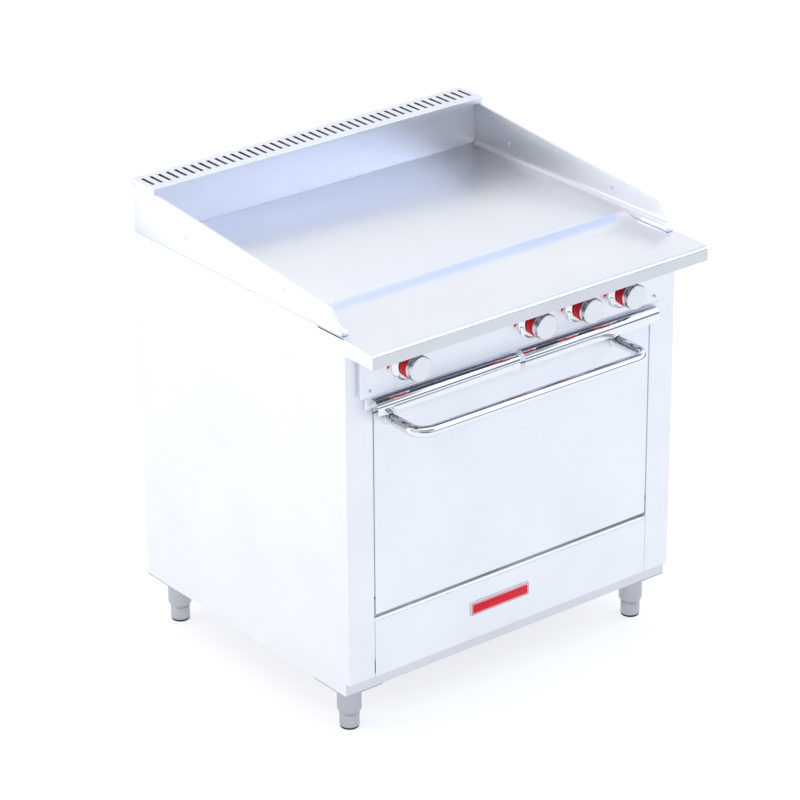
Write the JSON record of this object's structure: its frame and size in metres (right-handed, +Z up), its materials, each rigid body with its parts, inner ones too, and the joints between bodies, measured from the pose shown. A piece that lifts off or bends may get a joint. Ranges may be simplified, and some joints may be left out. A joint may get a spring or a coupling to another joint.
{
  "type": "commercial gas range with griddle top and oven",
  "caption": "Free-standing stainless gas range: full-width griddle between side guards, front shelf, red knobs, drop-down oven door with bar handle, adjustable legs.",
  "frame": {"origin": "on the floor, under the middle of the range's whole bounding box", "axes": "+Z up, -Y out of the front (the oven door), +X to the right as seen from the front"},
  "size_m": [0.922, 0.9014, 1.08],
  "materials": {
    "satin_stainless": "satin, fine grain, soft reflections",
    "griddle_steel": "smooth ground plate, slightly worn",
    "polished_chrome": "mirror bright",
    "bezel_chrome": "bright with fine turning marks",
    "leg_steel": "satin tube, a little duller than the skins",
    "foot_steel": "satin, with a black rubber sole",
    "galvanised": "galvanised sheet, matte spangle",
    "red_plate": "gloss red with a pale border, blank",
    "knob_red": "semi-gloss red grip with a brushed steel cap",
    "valve_brass": "machined",
    "oven_enamel": "vitreous enamel, fine pale speckle",
    "rack_chrome": "plated wire, heat tinted",
    "black_pipe": "black iron pipe, dull",
    "burner_iron": "cast, rough",
    "mineral_wool": "matte fibre blanket, hidden inside the door"
  },
  "bodies": {
    "cabinet": {"base_frame": "galvanised", "leg_front_left": "leg_steel", "leg_back_left": "leg_steel", "leg_front_right": "leg_steel", "leg_back_right": "leg_steel", "side_panel_left": "satin_stainless", "side_panel_right": "satin_stainless", "stile_left": "satin_stainless", "stile_right": "satin_stainless", "front_header": "satin_stainless", "back_panel": "galvanised", "kick_panel": "satin_stainless", "nameplate": "red_plate", "landing_shelf": "satin_stainless", "griddle_plate": "griddle_steel", "side_guard_left": "satin_stainless", "side_guard_right": "satin_stainless", "splash_back": "satin_stainless", "vent_cover": "satin_stainless", "flue_box": "galvanised", "control_panel": "satin_stainless", "bezel_oven": "bezel_chrome", "bezel_griddle_left": "bezel_chrome", "bezel_griddle_middle": "bezel_chrome", "bezel_griddle_right": "bezel_chrome", "oven_thermostat": "valve_brass", "valve_griddle_left": "valve_brass", "valve_griddle_middle": "valve_brass", "valve_griddle_right": "valve_brass", "deflector_rail": "polished_chrome", "heat_deflector_left": "polished_chrome", "heat_deflector_right": "polished_chrome", "oven_side_left": "oven_enamel", "oven_side_right": "oven_enamel", "oven_top": "oven_enamel", "oven_floor": "oven_enamel", "oven_back": "oven_enamel", "rack_guide_left": "rack_chrome", "rack_guide_right": "rack_chrome", "gas_manifold": "black_pipe", "gas_inlet_pipe": "black_pipe", "griddle_burner_left": "burner_iron", "griddle_burner_middle": "burner_iron", "griddle_burner_right": "burner_iron", "oven_burner": "burner_iron"},
    "door": {"door_panel": "satin_stainless", "door_insulation": "mineral_wool", "door_liner": "oven_enamel", "door_handle": "polished_chrome", "hinge_bracket_left": "leg_steel", "hinge_bracket_right": "leg_steel"},
    "rack": {"oven_rack": "rack_chrome"},
    "knob_oven": {"knob_oven": "knob_red"},
    "knob_griddle_left": {"knob_griddle_left": "knob_red"},
    "knob_griddle_middle": {"knob_griddle_middle": "knob_red"},
    "knob_griddle_right": {"knob_griddle_right": "knob_red"},
    "foot_front_left": {"foot_front_left": "foot_steel"},
    "foot_front_right": {"foot_front_right": "foot_steel"},
    "foot_back_left": {"foot_back_left": "foot_steel"},
    "foot_back_right": {"foot_back_right": "foot_steel"}
  },
  "joints": [
    {"name": "oven_door_hinge", "type": "hinge", "parent": "cabinet", "child": "door", "pos_m": [0, -0.322, 0.3], "axis": [1, 0, 0], "range_deg": [0, 90]},
    {"name": "oven_rack_slide", "type": "slide", "parent": "cabinet", "child": "rack", "axis": [0, -1, 0], "range_m": [0, 0.03]},
    {"name": "knob_oven_turn", "type": "hinge", "parent": "cabinet", "child": "knob_oven", "pos_m": [-0.306, -0.3417, 0.864], "axis": [0, -1, 0], "range_deg": [0, 270]},
    {"name": "knob_griddle_left_turn", "type": "hinge", "parent": "cabinet", "child": "knob_griddle_left", "pos_m": [0.036, -0.3417, 0.864], "axis": [0, -1, 0], "range_deg": [0, 180]},
    {"name": "knob_griddle_middle_turn", "type": "hinge", "parent": "cabinet", "child": "knob_griddle_middle", "pos_m": [0.168, -0.3417, 0.864], "axis": [0, -1, 0], "range_deg": [0, 180]},
    {"name": "knob_griddle_right_turn", "type": "hinge", "parent": "cabinet", "child": "knob_griddle_right", "pos_m": [0.29, -0.3417, 0.864], "axis": [0, -1, 0], "range_deg": [0, 180]},
    {"name": "foot_front_left_slide", "type": "slide", "parent": "cabinet", "child": "foot_front_left", "axis": [0, 0, -1], "range_m": [0, 0.025]},
    {"name": "foot_front_right_slide", "type": "slide", "parent": "cabinet", "child": "foot_front_right", "axis": [0, 0, -1], "range_m": [0, 0.025]},
    {"name": "foot_back_left_slide", "type": "slide", "parent": "cabinet", "child": "foot_back_left", "axis": [0, 0, -1], "range_m": [0, 0.025]},
    {"name": "foot_back_right_slide", "type": "slide", "parent": "cabinet", "child": "foot_back_right", "axis": [0, 0, -1], "range_m": [0, 0.025]}
  ]
}
